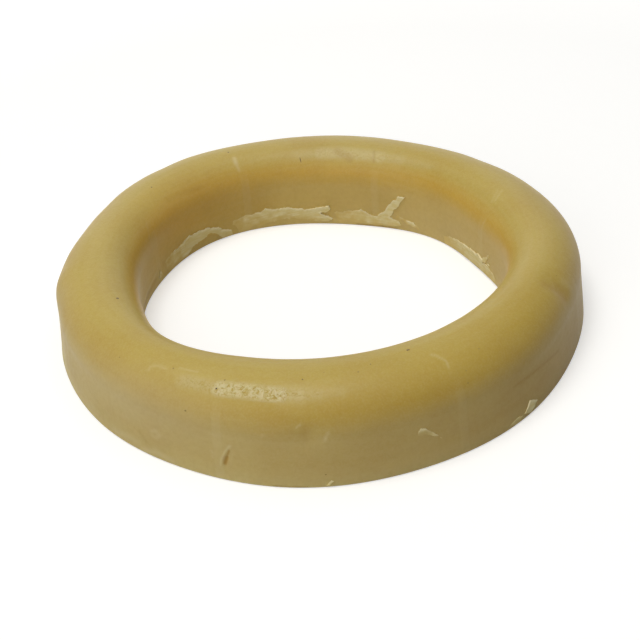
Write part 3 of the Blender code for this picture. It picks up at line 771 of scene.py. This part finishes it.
def wax_sheet(sizes, name, side, outline, seed, thickness, front, whiteness, tear):
    """A thin torn sheet of wax: drawn flat, cut into cells, thickened and wrapped onto the ring."""
    start_piece()
    unrolled = sizes.bore_radius if side == BORE else sizes.outer_radius
    flat = [(math.radians(azimuth) * unrolled, arc * MM, lift * MM) for azimuth, arc, lift in outline]
    torn = ragged(flat, OUTLINE_STEP * MM, tear * MM, seed)
    piece = drawn([(x, y, 0.0) for x, y in torn], "NGON")
    cut_into_cells(piece, FILM_CELL * MM)
    wall = piece.modifiers.new("thickness", "SOLIDIFY")
    wall.thickness = thickness
    wall.offset = 0.0
    bpy.ops.object.modifier_apply(modifier=wall.name)
    spots = coordinates(piece.data)
    lifted = lift_at(spots[:, :2], flat)
    away, facing = away_from(spots[:, :2], torn), facing_up(torn)
    under = (np.exp(-(away / LOWER_FADE_WIDTH) ** 2) * np.clip(-facing, 0.0, 1.0)).max(axis=1)
    fading = LOWER_FADE * under * (1.0 - ramp(lifted, 0.0, HANGS_CLEAR * MM))
    white = np.clip(whiteness[0] + whiteness[1] * lifted / MM, 0.0, 1.0) * (1.0 - fading)
    # The crumbled edge, paler, and painted brightest on upper edges as the highlight of the light from above
    edge = (np.exp(-(away / CRUMBLE_WIDTH) ** 2) * np.clip(CRUMBLE_LEVEL + facing, 0.0, 1.0)).max(axis=1)
    edge *= CRUMBLE_SHARE[0] + CRUMBLE_SHARE[1] * noise_along(spots, CRUMBLE_SIZE, seed)
    edge *= free_of_base(spots[:, 1])
    edge = np.clip(edge * np.minimum(CRUMBLE_WHITE * white, 1.0), 0.0, 1.0)
    wave = 1.0 + HANG_WAVE[1] * noise_along(spots, HANG_WAVE[0], seed)
    face = SUNK + (front - SUNK) * ramp(lifted, 0.0, FULLY_OUT * MM)
    out = lifted * HANG * wave + spots[:, 2] + face * MM - thickness / 2.0
    out += edge * CRUMBLE_RISE * MM * (spots[:, 2] > 0.0)
    move_vertices(piece.data, on_ring(sizes, side, np.degrees(spots[:, 0] / unrolled), spots[:, 1], out))
    paint(piece.data, "edge", edge)
    paint(piece.data, "whitened", white)
    paint(piece.data, "up_the_side", spots[:, 1] / (TONE_SPAN * MM))
    paint(piece.data, "bore_side", np.full(len(spots), float(side == BORE)))
    close_and_turn_outwards()
    bpy.ops.object.shade_smooth_by_angle(angle=math.radians(CREASE_ANGLE))
    piece.name = piece.data.name = name
    return piece


def add_sheets(sizes, sheets, material, first_seed, *shape):
    """Models each sheet of a table of outlines."""
    for seed, (name, (side, outline)) in enumerate(sheets.items(), first_seed):
        finish_piece(wax_sheet(sizes, name, side, outline, seed, *shape), material)


# Materials


def add_node(tree, kind, inputs=None, **settings):
    """Adds a shader node with its settings, and sets or links its inputs."""
    made = tree.nodes.new("ShaderNode" + kind)
    for name, value in settings.items():
        setattr(made, name, value)
    for name, value in (inputs or {}).items():
        if isinstance(value, bpy.types.NodeSocket):
            tree.links.new(value, made.inputs[name])
        else:
            made.inputs[name].default_value = value
    return made


def new_material(name):
    """An empty material, its nodes, and the place on the object that its patterns go by."""
    material = bpy.data.materials.new(name)
    material.use_nodes = True
    tree = material.node_tree
    tree.nodes.clear()
    return material, tree, add_node(tree, "TexCoord").outputs["Object"]


def mixed(tree, share, first, second):
    """Colour between two others, by a share that may be a number or a socket."""
    return add_node(tree, "Mix", {0: share, 6: first, 7: second}, data_type="RGBA").outputs[2]


def calculated(tree, operation, first, second=0.0, third=0.0):
    return add_node(tree, "Math", {0: first, 1: second, 2: third}, operation=operation).outputs[0]


def product(tree, first, second):
    return calculated(tree, "MULTIPLY", first, second)


def scaled(tree, value, gain, offset):
    return calculated(tree, "MULTIPLY_ADD", value, gain, offset)


def clamped(tree, value):
    return add_node(tree, "Clamp", {"Value": value}).outputs[0]


def noise_of(tree, place, size, **settings):
    """Noise whose features are about a given size in mm."""
    inputs = {"Vector": place, "Scale": 1.0 / (size * MM), **settings}
    return add_node(tree, "TexNoise", inputs).outputs["Fac"]


def streaks_of(tree, place, size, detail):
    """Noise that runs round the ring in streaks of a length and height in mm."""
    length, height = size
    parts = add_node(tree, "SeparateXYZ", {0: place})
    level = add_node(tree, "CombineXYZ", {"X": parts.outputs["X"], "Y": parts.outputs["Y"]}).outputs[0]
    radius = add_node(tree, "VectorMath", {0: level}, operation="LENGTH").outputs["Value"]
    facing = add_node(tree, "VectorMath", {0: level}, operation="NORMALIZE").outputs[0]
    facing = add_node(tree, "VectorMath", {0: facing, "Scale": STREAK_RADIUS / length}, operation="SCALE")
    facing = add_node(tree, "SeparateXYZ", {0: facing.outputs[0]})
    upright = calculated(tree, "ADD", parts.outputs["Z"], product(tree, radius, STREAK_LEAN))
    upright = product(tree, upright, 1.0 / (height * MM))
    spot = {"X": facing.outputs["X"], "Y": facing.outputs["Y"], "Z": upright}
    return noise_of(tree, add_node(tree, "CombineXYZ", spot).outputs[0], UNSTRETCHED, Detail=detail)


def painted(tree, name):
    return add_node(tree, "Attribute", attribute_name=name).outputs["Fac"]


def toned(tree, places, tones):
    """Colour that changes up one side of the section, from tone to tone."""
    ramped = add_node(tree, "ValToRGB", {"Fac": painted(tree, "up_the_side")})
    stops = ramped.color_ramp.elements
    stops.remove(stops[-1])
    for place, tone in zip(places, tones):
        stop = stops.new(place / TONE_SPAN) if place > 0.0 else stops[0]
        stop.color = tone
    return ramped.outputs["Color"]


def wax_and_painted_light(tree, colours):
    """The wax's colour with painted light: palest along the base and dull on the walls, for the floor's
    painted reflection, and yellowest at the shoulders, for painted shade and warm bounce light.
    """
    outer = colours.outer_foot, colours.outer_wall, colours.outer_wall, colours.outer_shoulder, colours.crown
    bore = colours.bore_foot, colours.bore_wall, colours.bore_wall, colours.bore_shoulder, colours.crown
    sides = toned(tree, OUTER_TONES, outer), toned(tree, BORE_TONES, bore)
    return mixed(tree, painted(tree, "bore_side"), *sides)


def surfaced(tree, colour, roughness, **more):
    """Ends a material in its shader; a socket of another name is given with underscores for spaces."""
    inputs = {"Base Color": colour, "Roughness": roughness}
    inputs.update((name.replace("_", " "), value) for name, value in more.items())
    shader = add_node(tree, "BsdfPrincipled", inputs)
    add_node(tree, "OutputMaterial", {"Surface": shader.outputs[0]})


def relief(tree, height, strength, depth):
    """Fine relief of the surface, of a depth in mm."""
    inputs = {"Height": height, "Strength": strength, "Distance": depth * MM}
    return add_node(tree, "Bump", inputs).outputs["Normal"]


def moulded_wax(colours):
    """Petroleum wax, poured warm into a mould: soft, slightly clouded, and dull, as light sinks into it.

    The eye sees a yellow crown over walls made duller by the floor's painted reflection, faint amber clouds
    a couple of centimetres across, whitening wherever the surface was rubbed, a painted highlight with
    painted shade between its glints on the crinkled crown, broad tints and small marks of painted light
    and shade, and fine crinkles that break up the gloss of the crown.
    """
    material, tree, place = new_material("moulded_petroleum_wax")
    clouds = noise_of(tree, place, CLOUD_SIZE, Detail=2.0)
    mottle = noise_of(tree, place, MOTTLE_SIZE, Detail=3.0)
    grain = noise_of(tree, place, GRAIN_SIZE, Detail=2.0)
    streaks = streaks_of(tree, place, STREAK_SIZE, detail=2.0)
    flecks = noise_of(tree, place, FLECK_SIZE, Detail=4.0, Roughness=0.65, Distortion=1.0)
    colour = wax_and_painted_light(tree, colours)
    # Broad tints of painted light and shade over the wax's colour
    for name in PAINTED_LIGHT_TINTS:
        colour = mixed(tree, painted(tree, name), colour, getattr(colours, name))
    # Each pattern's gain and offset, and the colour that it brings in
    for pattern, gain, offset, tone in (
        (clouds, 0.50, -0.20, colours.amber),
        (streaks, 0.16, -0.05, colours.bloom_and_highlight),
        (mottle, 0.30, -0.12, colours.amber),
        (grain, 0.30, -0.12, colours.bloom_and_highlight),
    ):
        colour = mixed(tree, scaled(tree, pattern, gain, offset), colour, tone)
    crinkle = painted(tree, "crinkle")
    # On the crinkled crown the fleck patches carry the painted highlight; elsewhere the rubbed whitening
    # stays whole
    patches = clamped(tree, scaled(tree, flecks, *FLECK_EDGES))
    whole = scaled(tree, patches, crinkle, calculated(tree, "SUBTRACT", 1.0, crinkle))
    colour = mixed(tree, product(tree, painted(tree, "bloom_and_highlight"), whole), colour, colours.bloom_and_highlight)
    # Painted shade in the gaps between the glints of the crinkled crown
    gaps = product(tree, crinkle, scaled(tree, flecks, *FLECK_GAPS))
    colour = mixed(tree, product(tree, gaps, GAP_AMBER), colour, colours.amber)
    colour = mixed(tree, painted(tree, "amber"), colour, colours.amber)
    gloss = add_node(tree, "MapRange", {
        "Value": painted(tree, "up_the_side"),
        "From Min": GLOSS_FROM / TONE_SPAN,
        "From Max": GLOSS_FULL / TONE_SPAN,
        "To Min": WALL_GLOSS,
        "To Max": CROWN_GLOSS,
    })
    crinkles = product(tree, flecks, scaled(tree, crinkle, 1.0, PLAIN_RELIEF))
    surfaced(
        tree, colour, scaled(tree, mottle, *WAX_ROUGHNESS),
        IOR=WAX_IOR,
        Specular_IOR_Level=gloss.outputs["Result"],
        Subsurface_Weight=0.22,
        Subsurface_Radius=(1.0, 0.62, 0.22),
        Subsurface_Scale=2.5 * MM,
        Normal=relief(tree, crinkles, strength=0.7, depth=0.5),
    )
    return material


def torn_wax(colours, name, base, roughness):
    """The same wax as a thin torn skin: bending has whitened it, and its surface is drier and rougher.

    The eye sees a paler sheet, its paleness partly painted light shining through it, streaked the way it was
    pulled, with the wall's colour through its thin places and a crumbled edge painted bright along its upper
    side as a highlight.
    """
    material, tree, place = new_material(name)
    pulled = streaks_of(tree, place, PULL_SIZE, detail=3.0)
    blotches = noise_of(tree, place, BLOTCH_SIZE, Detail=3.0)
    grain = noise_of(tree, place, SHEET_GRAIN_SIZE, Detail=3.0)
    cover = scaled(tree, painted(tree, "whitened"), *SHEET_COVER)
    cover = calculated(tree, "ADD", cover, product(tree, blotches, BLOTCH_COVER))
    started = clamped(tree, product(tree, painted(tree, "whitened"), COVER_START))
    cover = clamped(tree, product(tree, cover, started))
    colour = mixed(tree, cover, wax_and_painted_light(tree, colours), base)
    streaks = product(tree, cover, scaled(tree, pulled, *PULL_EDGES))
    colour = mixed(tree, streaks, colour, colours.film_edge)
    colour = mixed(tree, painted(tree, "edge"), colour, colours.film_edge)
    surfaced(
        tree, colour, roughness,
        IOR=WAX_IOR,
        Specular_IOR_Level=WALL_GLOSS,
        Normal=relief(tree, calculated(tree, "ADD", grain, pulled), strength=0.5, depth=0.2),
    )
    return material


def grit_in_wax(colours):
    """Dark mineral grains under a skin of wax: brown, with the same dull gloss as the wax round them."""
    material, tree, place = new_material("waxed_grit")
    specks = noise_of(tree, place, GRIT_SPECK_SIZE, Detail=2.0)
    colour = mixed(tree, product(tree, specks, SPECK_AMBER), colours.grit, colours.amber)
    colour = mixed(tree, painted(tree, "hidden"), colour, colours.crown)
    surfaced(tree, colour, 0.5, IOR=1.5)
    return material


def seen_rays(tree):
    """1 for what the picture shows directly, in a gloss or through clear material, and 0 for other light."""
    path = add_node(tree, "LightPath")
    seen = calculated(tree, "MAXIMUM", path.outputs["Is Camera Ray"], path.outputs["Is Glossy Ray"])
    return calculated(tree, "MAXIMUM", seen, path.outputs["Is Transmission Ray"])


def paper_floor(colours):
    """Matt white paper, which shows white in the picture and still takes the ring's shadow."""
    material, tree, place = new_material("matt_paper")
    fibres = noise_of(tree, place, PAPER_FIBRE_SIZE, Detail=2.0)
    normal = relief(tree, fibres, strength=0.1, depth=0.05)
    sheet = add_node(tree, "BsdfDiffuse", {"Color": colours.floor, "Normal": normal})
    strength = add_node(tree, "MapRange", {
        "Value": add_node(tree, "VectorMath", {0: place}, operation="LENGTH").outputs["Value"],
        "From Min": GLOW_REACH[0],
        "From Max": GLOW_REACH[1],
        "To Min": FLOOR_GLOW,
        "To Max": FAR_GLOW,
    }).outputs["Result"]
    glow = add_node(tree, "Emission", {"Strength": product(tree, seen_rays(tree), strength)})
    both = add_node(tree, "AddShader", {0: sheet.outputs[0], 1: glow.outputs[0]})
    add_node(tree, "OutputMaterial", {"Surface": both.outputs[0]})
    return material


def studio_world():
    """White behind everything that the picture shows, and no light of its own on the ring."""
    world = bpy.data.worlds.new("studio")
    world.use_nodes = True
    tree = world.node_tree
    tree.nodes.clear()
    glow = add_node(tree, "Background", {"Color": (1.0, 1.0, 1.0, 1.0), "Strength": seen_rays(tree)})
    add_node(tree, "OutputWorld", {"Surface": glow.outputs[0]})
    return world


# Pieces


class WAX_RING_OT_body(Operator):
    """Adds the moulded ring: its section spun round the bore, then marked by the mould and by handling"""

    bl_idname = "wax_ring.body"
    bl_label = "Moulded ring"

    def execute(self, context):
        sizes = context.scene.wax_ring_sizes
        start_piece()
        spots = self.section(sizes)
        places = np.array([spot[2:] for spot in spots])
        piece = drawn([(radius, 0.0, height) for radius, height in places], "NOTHING")
        edit_all()
        bpy.ops.mesh.spin(
            steps=SPIN_STEPS, angle=math.tau, center=(0.0, 0.0, 0.0), axis=(0.0, 0.0, 1.0),
            use_auto_merge=True,
        )
        bpy.ops.mesh.remove_doubles(threshold=SAME_PLACE)
        self.select_edges_round_the_bore(piece.data)
        bpy.ops.mesh.subdivide(number_cuts=SPIN_CUTS)
        bpy.ops.object.mode_set(mode="OBJECT")
        close_and_turn_outwards()
        self.mark(sizes, piece.data, spots, places)
        bpy.ops.object.shade_smooth()
        piece.name = piece.data.name = "wax_body"
        finish_piece(piece, moulded_wax(context.scene.wax_ring_colours), "wax_ring")
        return {"FINISHED"}

    def select_edges_round_the_bore(self, mesh):
        """Selects the edges that run round the ring, and none that cross it."""
        bpy.ops.mesh.select_all(action="DESELECT")
        bpy.ops.mesh.select_mode(type="EDGE")
        shape = bmesh.from_edit_mesh(mesh)
        for edge in shape.edges:
            first, last = (vert.co for vert in edge.verts)
            level = abs(first.z - last.z) < SAME_PLACE
            edge.select = level and abs(first.xy.length - last.xy.length) < SAME_PLACE
        bmesh.update_edit_mesh(mesh)

    def section(self, sizes):
        """Corners of the section as (side, arc, radius, height); a corner of the base has no side."""
        spots = {}
        for side, count in ((OUTER, OUTER_POINTS), (BORE, BORE_POINTS)):
            arc, radius, height, _, _ = side_curve(sizes, side)
            edge = sizes.base_edge_radius
            inward = -1.0 if side == OUTER else 1.0
            spots[side] = []
            for step in range(EDGE_POINTS):
                turn = math.radians(90.0) * step / EDGE_POINTS
                reach = radius[0] + inward * edge * (1.0 - math.sin(turn))
                spots[side].append((None, 0.0, reach, edge * (1.0 - math.cos(turn))))
            for length in np.linspace(edge, arc[-1], count):
                place = np.interp(length, arc, radius), np.interp(length, arc, height)
                spots[side].append((side, length, *place))
        first, last = spots[BORE][0][2], spots[OUTER][0][2]
        steps = range(1, BASE_POINTS + 1)
        base = [(None, 0.0, first + (last - first) * step / (BASE_POINTS + 1), 0.0) for step in steps]
        return spots[OUTER][:-1] + spots[BORE][::-1] + base

    def mark(self, sizes, mesh, spots, places):
        """Moves the spun corners to the ring's real shape, and paints rubs, cuts, painted highlights and
        painted shade, and tints of painted light.
        """
        co = coordinates(mesh)
        plan = np.hypot(co[:, 0], co[:, 1])
        nearest = np.empty(len(co), dtype=int)
        for begin in range(0, len(co), CORNERS_AT_ONCE):
            part = slice(begin, begin + CORNERS_AT_ONCE)
            across = np.abs(plan[part, None] - places[None, :, 0])
            nearest[part] = (across + np.abs(co[part, 2:3] - places[None, :, 1])).argmin(axis=1)
        degrees = gathered(np.degrees(np.arctan2(co[:, 1], co[:, 0])))
        turn = np.radians(degrees)
        plan = places[nearest, 0]
        reach = out_of_round(sizes, plan, turn)
        moved = np.stack([reach * np.cos(turn), reach * np.sin(turn), co[:, 2]], axis=-1)
        bloom_and_highlight, amber, crinkle = (np.zeros(len(co)) for _ in range(3))
        arcs = np.array([spot[1] for spot in spots])[nearest]
        for side in (OUTER, BORE):
            here = np.array([spot[0] == side for spot in spots])[nearest]
            moved[here] = on_ring(sizes, side, degrees[here], arcs[here])
            # The crinkled stretches: their paleness is rubbed whitening and a painted highlight
            for half_width, crispness, whitened, crinkled, path in CRINKLED[side]:
                strength = mark_strength(degrees[here], arcs[here], plan[here], half_width, crispness, path)
                bloom_and_highlight[here] = np.maximum(bloom_and_highlight[here], whitened * strength)
                crinkle[here] = np.maximum(crinkle[here], crinkled * strength)
            # Marks: their whitening and amber include painted light and shade where the table says so
            for half_width, crispness, _, whitened, darkened, path in MARKS[side]:
                strength = mark_strength(degrees[here], arcs[here], plan[here], half_width, crispness, path)
                bloom_and_highlight[here] = np.maximum(bloom_and_highlight[here], whitened * strength)
                amber[here] = np.maximum(amber[here], darkened * strength)
        bloom_and_highlight = np.maximum(bloom_and_highlight, WITNESS_BLOOM * witness_mask(sizes, degrees, plan, co[:, 2]))
        crinkle = np.maximum(crinkle, CROWN_CRINKLE * ramp(co[:, 2] / MM, *CRINKLE_START))
        move_vertices(mesh, moved)
        paint(mesh, "bloom_and_highlight", bloom_and_highlight)
        paint(mesh, "amber", amber)
        paint(mesh, "crinkle", crinkle)
        paint(mesh, "up_the_side", arcs / (TONE_SPAN * MM))
        in_bore = plan < crest_radius(sizes)
        paint(mesh, "bore_side", in_bore)
        # Broad tints of painted light and shade
        for name, rows in PAINTED_LIGHT_TINTS.items():
            tint = np.zeros(len(co))
            for side, azimuth, half_width, arc, half_height, strength in rows:
                across = degrees_between(degrees, azimuth) / half_width
                up = (arcs / MM - arc) / half_height
                shown = strength * np.exp(-across * across - up * up)
                tint = np.maximum(tint, shown * (in_bore == (side == BORE)))
            paint(mesh, name, tint)


class WAX_RING_OT_film(Operator):
    """Adds the torn film that the mould left along the base of the bore"""

    bl_idname = "wax_ring.film"
    bl_label = "Torn film"

    def execute(self, context):
        sizes = context.scene.wax_ring_sizes
        colours = context.scene.wax_ring_colours
        material = torn_wax(colours, "torn_wax_film", colours.film, FILM_ROUGHNESS)
        shape = sizes.film_thickness, FILM_FRONT, FILM_WHITE, FILM_TEAR
        add_sheets(sizes, FILM_SHEETS, material, 0, *shape)
        return {"FINISHED"}


class WAX_RING_OT_smears(Operator):
    """Adds the smear and the flakes on the outer wall"""

    bl_idname = "wax_ring.smears"
    bl_label = "Smears and flakes"

    def execute(self, context):
        sizes = context.scene.wax_ring_sizes
        colours = context.scene.wax_ring_colours
        material = torn_wax(colours, "smeared_wax", colours.smear, SMEAR_ROUGHNESS)
        shape = sizes.smear_thickness, SMEAR_FRONT, SMEAR_WHITE, SMEAR_TEAR
        add_sheets(sizes, SMEARS, material, SMEAR_SEED, *shape)
        return {"FINISHED"}


class WAX_RING_OT_grit(Operator):
    """Adds the dark grains that are caught in the wax"""

    bl_idname = "wax_ring.grit"
    bl_label = "Grit"

    def execute(self, context):
        sizes = context.scene.wax_ring_sizes
        start_piece()
        bpy.ops.mesh.primitive_ico_sphere_add(
            subdivisions=GRIT_CUTS, radius=0.5 * MM, location=(0.0, 0.0, 0.0),
        )
        first = context.object
        round_grain = coordinates(first.data) / MM
        grains = [first]
        for _ in GRIT[1:]:
            grain = first.copy()
            grain.data = first.data.copy()
            context.collection.objects.link(grain)
            grains.append(grain)
        reach, count = GRIT_KNOBS
        for seed, (grain, row) in enumerate(zip(grains, GRIT)):
            side, azimuth, arc, length, width, turn, hidden = row
            aside = Vector((seed, 0.0, 0.0))
            knobs = [1.0 + reach * noise.noise(Vector(point) * count + aside) for point in round_grain]
            local = round_grain * np.array(knobs)[:, None] * (length, width, GRIT_DEPTH) * MM
            spin = math.radians(turn)
            along = local[:, 0] * math.cos(spin) - local[:, 1] * math.sin(spin)
            up = local[:, 0] * math.sin(spin) + local[:, 1] * math.cos(spin)
            degrees = azimuth + np.degrees(along / crest_radius(sizes))
            out = local[:, 2] + (GRIT_PROUD - GRIT_DEPTH / 2.0) * MM
            move_vertices(grain.data, on_ring(sizes, side, degrees, arc * MM + up, out))
            paint(grain.data, "hidden", np.full(len(local), hidden))
            grain.select_set(True)
        context.view_layer.objects.active = first
        bpy.ops.object.join()
        close_and_turn_outwards()
        bpy.ops.object.shade_smooth()
        first.name = first.data.name = "grit"
        finish_piece(first, grit_in_wax(context.scene.wax_ring_colours))
        return {"FINISHED"}


class WAX_RING_OT_stage(Operator):
    """Adds the paper floor, the lamps, the white background and the camera"""

    bl_idname = "wax_ring.stage"
    bl_label = "Studio"

    def execute(self, context):
        scene = context.scene
        studio = scene.wax_ring_studio
        start_piece()
        bpy.ops.mesh.primitive_plane_add(size=FLOOR_SIDE, location=(0.0, 0.0, 0.0))
        floor = context.object
        move_vertices(floor.data, coordinates(floor.data) - (0.0, 0.0, FLOOR_GAP))
        floor.name = "paper_floor"
        floor.data.materials.append(paper_floor(scene.wax_ring_colours))
        self.lamp("overhead_soft_box", *KEY_PLACE, studio.key_power)
        self.lamp("ceiling_panel", *CEILING_PLACE, studio.ceiling_power)
        self.lamp("near_panel", *NEAR_PLACE, studio.near_power)
        self.lamp("far_panel", *FAR_PLACE, studio.far_power)
        scene.world = studio_world()
        scene.camera = self.camera(studio)
        scene.view_settings.view_transform = "Standard"
        return {"FINISHED"}

    def lamp(self, name, direction, distance, side, power):
        away = Vector(direction).normalized()
        turn = away.to_track_quat("Z", "Y").to_euler()
        bpy.ops.object.light_add(type="AREA", location=away * distance, rotation=turn)
        lamp = bpy.context.object
        lamp.name = lamp.data.name = name
        lamp.data.shape = "SQUARE"
        lamp.data.size = side
        lamp.data.energy = power

    def camera(self, studio):
        tilt, roll = studio.camera_elevation, studio.camera_roll
        back = Vector((0.0, -math.cos(tilt), math.sin(tilt)))
        level = Vector((1.0, 0.0, 0.0))
        upright = Vector((0.0, math.sin(tilt), math.cos(tilt)))
        right = math.cos(roll) * level + math.sin(roll) * upright
        up = math.cos(roll) * upright - math.sin(roll) * level
        place = back * studio.camera_distance + right * studio.camera_right + up * studio.camera_up
        bpy.ops.object.camera_add()
        camera = bpy.context.object
        camera.name = camera.data.name = "camera"
        camera.data.lens = studio.camera_lens
        camera.data.sensor_width = CAMERA_SENSOR
        camera.matrix_world = Matrix.Translation(place) @ Matrix((right, up, back)).transposed().to_4x4()
        return camera


class VIEW3D_PT_wax_ring(Panel):
    bl_label = "Wax ring"
    bl_space_type = "VIEW_3D"
    bl_region_type = "UI"
    bl_category = "Wax ring"

    def draw(self, context):
        for operator in OPERATORS:
            self.layout.operator(operator.bl_idname)
        for settings in GROUPS:
            box = self.layout.box()
            box.label(text=settings.rpartition("_")[2].capitalize())
            group = getattr(context.scene, settings)
            for name in group.__annotations__:
                box.prop(group, name)


GROUPS = {
    "wax_ring_sizes": WaxRingSizes,
    "wax_ring_colours": WaxRingColours,
    "wax_ring_studio": WaxRingStudio,
}
OPERATORS = (WAX_RING_OT_body, WAX_RING_OT_film, WAX_RING_OT_smears, WAX_RING_OT_grit, WAX_RING_OT_stage)


def register():
    for name, group in GROUPS.items():
        bpy.utils.register_class(group)
        setattr(bpy.types.Scene, name, PointerProperty(type=group))
    for operator in OPERATORS:
        bpy.utils.register_class(operator)
    bpy.utils.register_class(VIEW3D_PT_wax_ring)


def unregister():
    bpy.utils.unregister_class(VIEW3D_PT_wax_ring)
    for operator in reversed(OPERATORS):
        bpy.utils.unregister_class(operator)
    for name, group in reversed(GROUPS.items()):
        delattr(bpy.types.Scene, name)
        bpy.utils.unregister_class(group)


def main():
    register()
    bpy.ops.wax_ring.body()
    bpy.ops.wax_ring.film()
    bpy.ops.wax_ring.smears()
    bpy.ops.wax_ring.grit()
    bpy.ops.wax_ring.stage()


if __name__ == "__main__":
    main()
